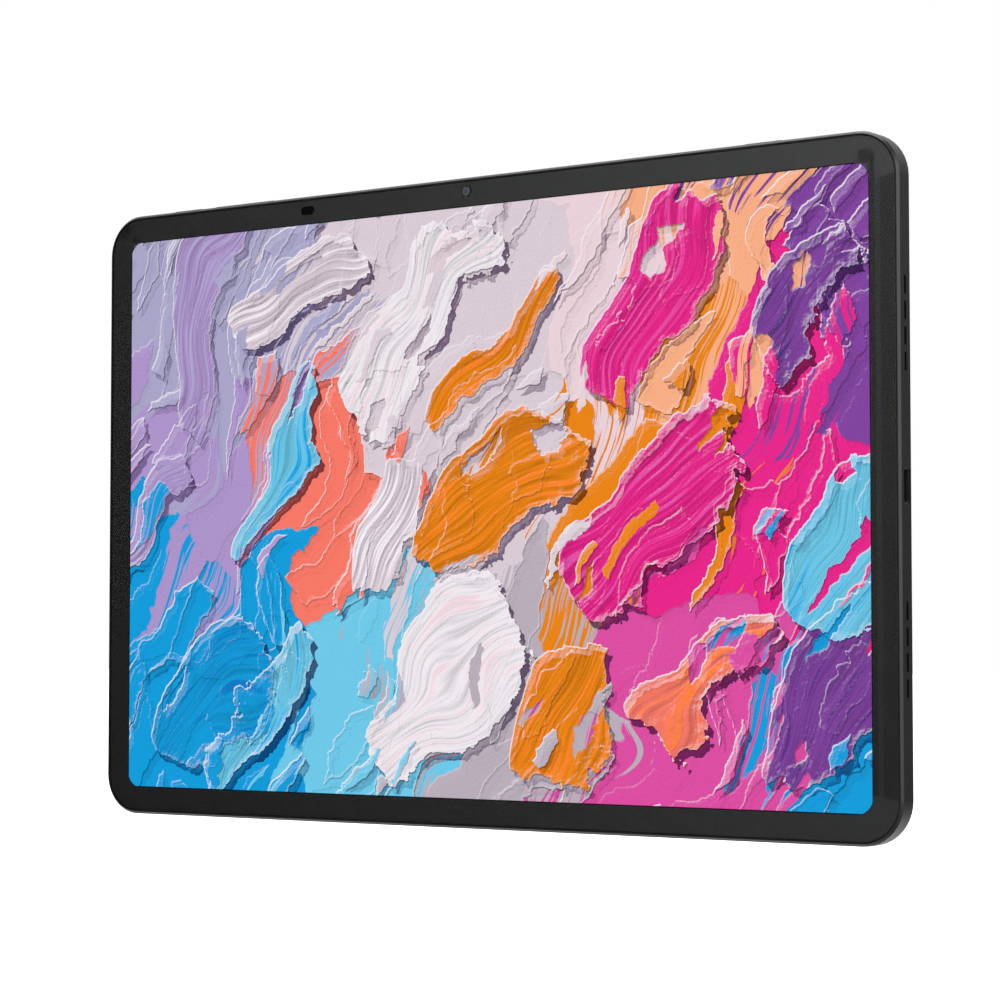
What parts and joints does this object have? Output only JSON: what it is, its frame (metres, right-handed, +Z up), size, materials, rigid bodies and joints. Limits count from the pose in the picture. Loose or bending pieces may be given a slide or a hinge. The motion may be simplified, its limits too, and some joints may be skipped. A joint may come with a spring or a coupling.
{
  "type": "tablet computer",
  "caption": "Slim flat tablet computer with a wide touch screen, keys in the top edge, slotted loudspeakers and a charging socket in the short sides.",
  "frame": {"origin": "middle of the lower long edge, on its flat outer wall, halfway through the thickness: the place where a stand, dock or table holds the upright tablet", "axes": "+X to the right along the long side as the user sees the screen, +Y from the screen to the back, +Z up"},
  "size_m": [0.2606, 0.0077, 0.1759],
  "materials": {
    "housing_aluminium": "near-black grey anodised, finely blasted, with a bright cut chamfer round the screen",
    "key_aluminium": "near-black grey anodised, finely blasted",
    "camera_ring_aluminium": "dark grey anodised, spun",
    "trim_plastic": "black, matt",
    "front_glass": "clear, lightly etched against glare",
    "mask_ink": "black printed ink",
    "sensor_tint": "dark infrared-clear tint",
    "bonding_tape": "black foam tape",
    "frame_alloy": "cast and milled, plain",
    "display_cell": "liquid crystal cell, lit from behind",
    "diffuser_film": "milky film",
    "guide_acrylic": "clear, dotted",
    "reflector_film": "white",
    "pressed_steel": "pressed sheet",
    "socket_steel": "drawn stainless steel",
    "screw_steel": "blackened",
    "ribbon": "amber film with copper tracks",
    "circuit_board": "solder-resist green",
    "chip_package": "moulded black epoxy",
    "thermal_rubber": "grey putty",
    "pouch_foil": "laminated foil pouch",
    "black_moulding": "black moulded plastic",
    "speaker_mesh": "black woven dust mesh",
    "lens_glass": "coated lens glass",
    "flash_plastic": "milky lens"
  },
  "bodies": {
    "tablet": {"antennas": "ribbon", "backlight_led_strip": "ribbon", "battery_adhesive": "bonding_tape", "battery_board": "circuit_board", "battery_cell_left": "pouch_foil", "battery_cell_right": "pouch_foil", "battery_flex": "ribbon", "bezel_mask": "mask_ink", "board_chips": "chip_package", "board_screws": "screw_steel", "card_reader": "pressed_steel", "cover_glass": "front_glass", "display_driver_board": "circuit_board", "display_flex": "ribbon", "display_panel": "display_cell", "display_tray": "pressed_steel", "flash_led": "chip_package", "flash_lens": "flash_plastic", "frame_screws": "screw_steel", "front_camera": "black_moulding", "front_camera_lens": "lens_glass", "glass_adhesive": "bonding_tape", "key_brackets": "pressed_steel", "key_flex_left": "ribbon", "key_flex_right": "ribbon", "key_switches": "chip_package", "light_guide": "guide_acrylic", "light_sensor": "chip_package", "light_sensor_window": "sensor_tint", "main_board": "circuit_board", "main_flex": "ribbon", "microphones": "chip_package", "mid_frame": "frame_alloy", "optical_films": "diffuser_film", "rear_camera": "black_moulding", "rear_camera_flex": "ribbon", "rear_camera_ring": "camera_ring_aluminium", "rear_camera_window": "lens_glass", "rear_housing": "housing_aluminium", "reflector_sheet": "reflector_film", "rocker_pivot": "black_moulding", "shield_can": "pressed_steel", "speaker_lower_left": "black_moulding", "speaker_lower_right": "black_moulding", "speaker_mesh_lower_left": "speaker_mesh", "speaker_mesh_lower_right": "speaker_mesh", "speaker_mesh_upper_left": "speaker_mesh", "speaker_mesh_upper_right": "speaker_mesh", "speaker_upper_left": "black_moulding", "speaker_upper_right": "black_moulding", "thermal_pad": "thermal_rubber", "trim_ring": "trim_plastic", "usb_board": "circuit_board", "usb_bracket": "pressed_steel", "usb_c_socket": "socket_steel", "usb_c_tongue": "black_moulding"},
    "power_button": {"power_key": "key_aluminium"},
    "volume_button": {"volume_rocker": "key_aluminium"},
    "shortcut_button": {"shortcut_key": "key_aluminium"},
    "card_drawer": {"card_tray": "key_aluminium"}
  },
  "joints": [
    {"name": "power_press", "type": "slide", "parent": "tablet", "child": "power_button", "axis": [0, 0, -1], "range_m": [0, 0.0003], "stiffness_N_per_m": 4000},
    {"name": "volume_rock", "type": "hinge", "parent": "tablet", "child": "volume_button", "pos_m": [-0.08035, 0, 0.1737], "axis": [0, 1, 0], "range_deg": [-1.9, 1.9], "stiffness_Nm_per_rad": 0.4},
    {"name": "shortcut_press", "type": "slide", "parent": "tablet", "child": "shortcut_button", "axis": [0, 0, -1], "range_m": [0, 0.0003], "stiffness_N_per_m": 4000},
    {"name": "card_tray_slide", "type": "slide", "parent": "tablet", "child": "card_drawer", "axis": [-1, 0, 0], "range_m": [0, 0.018]}
  ]
}
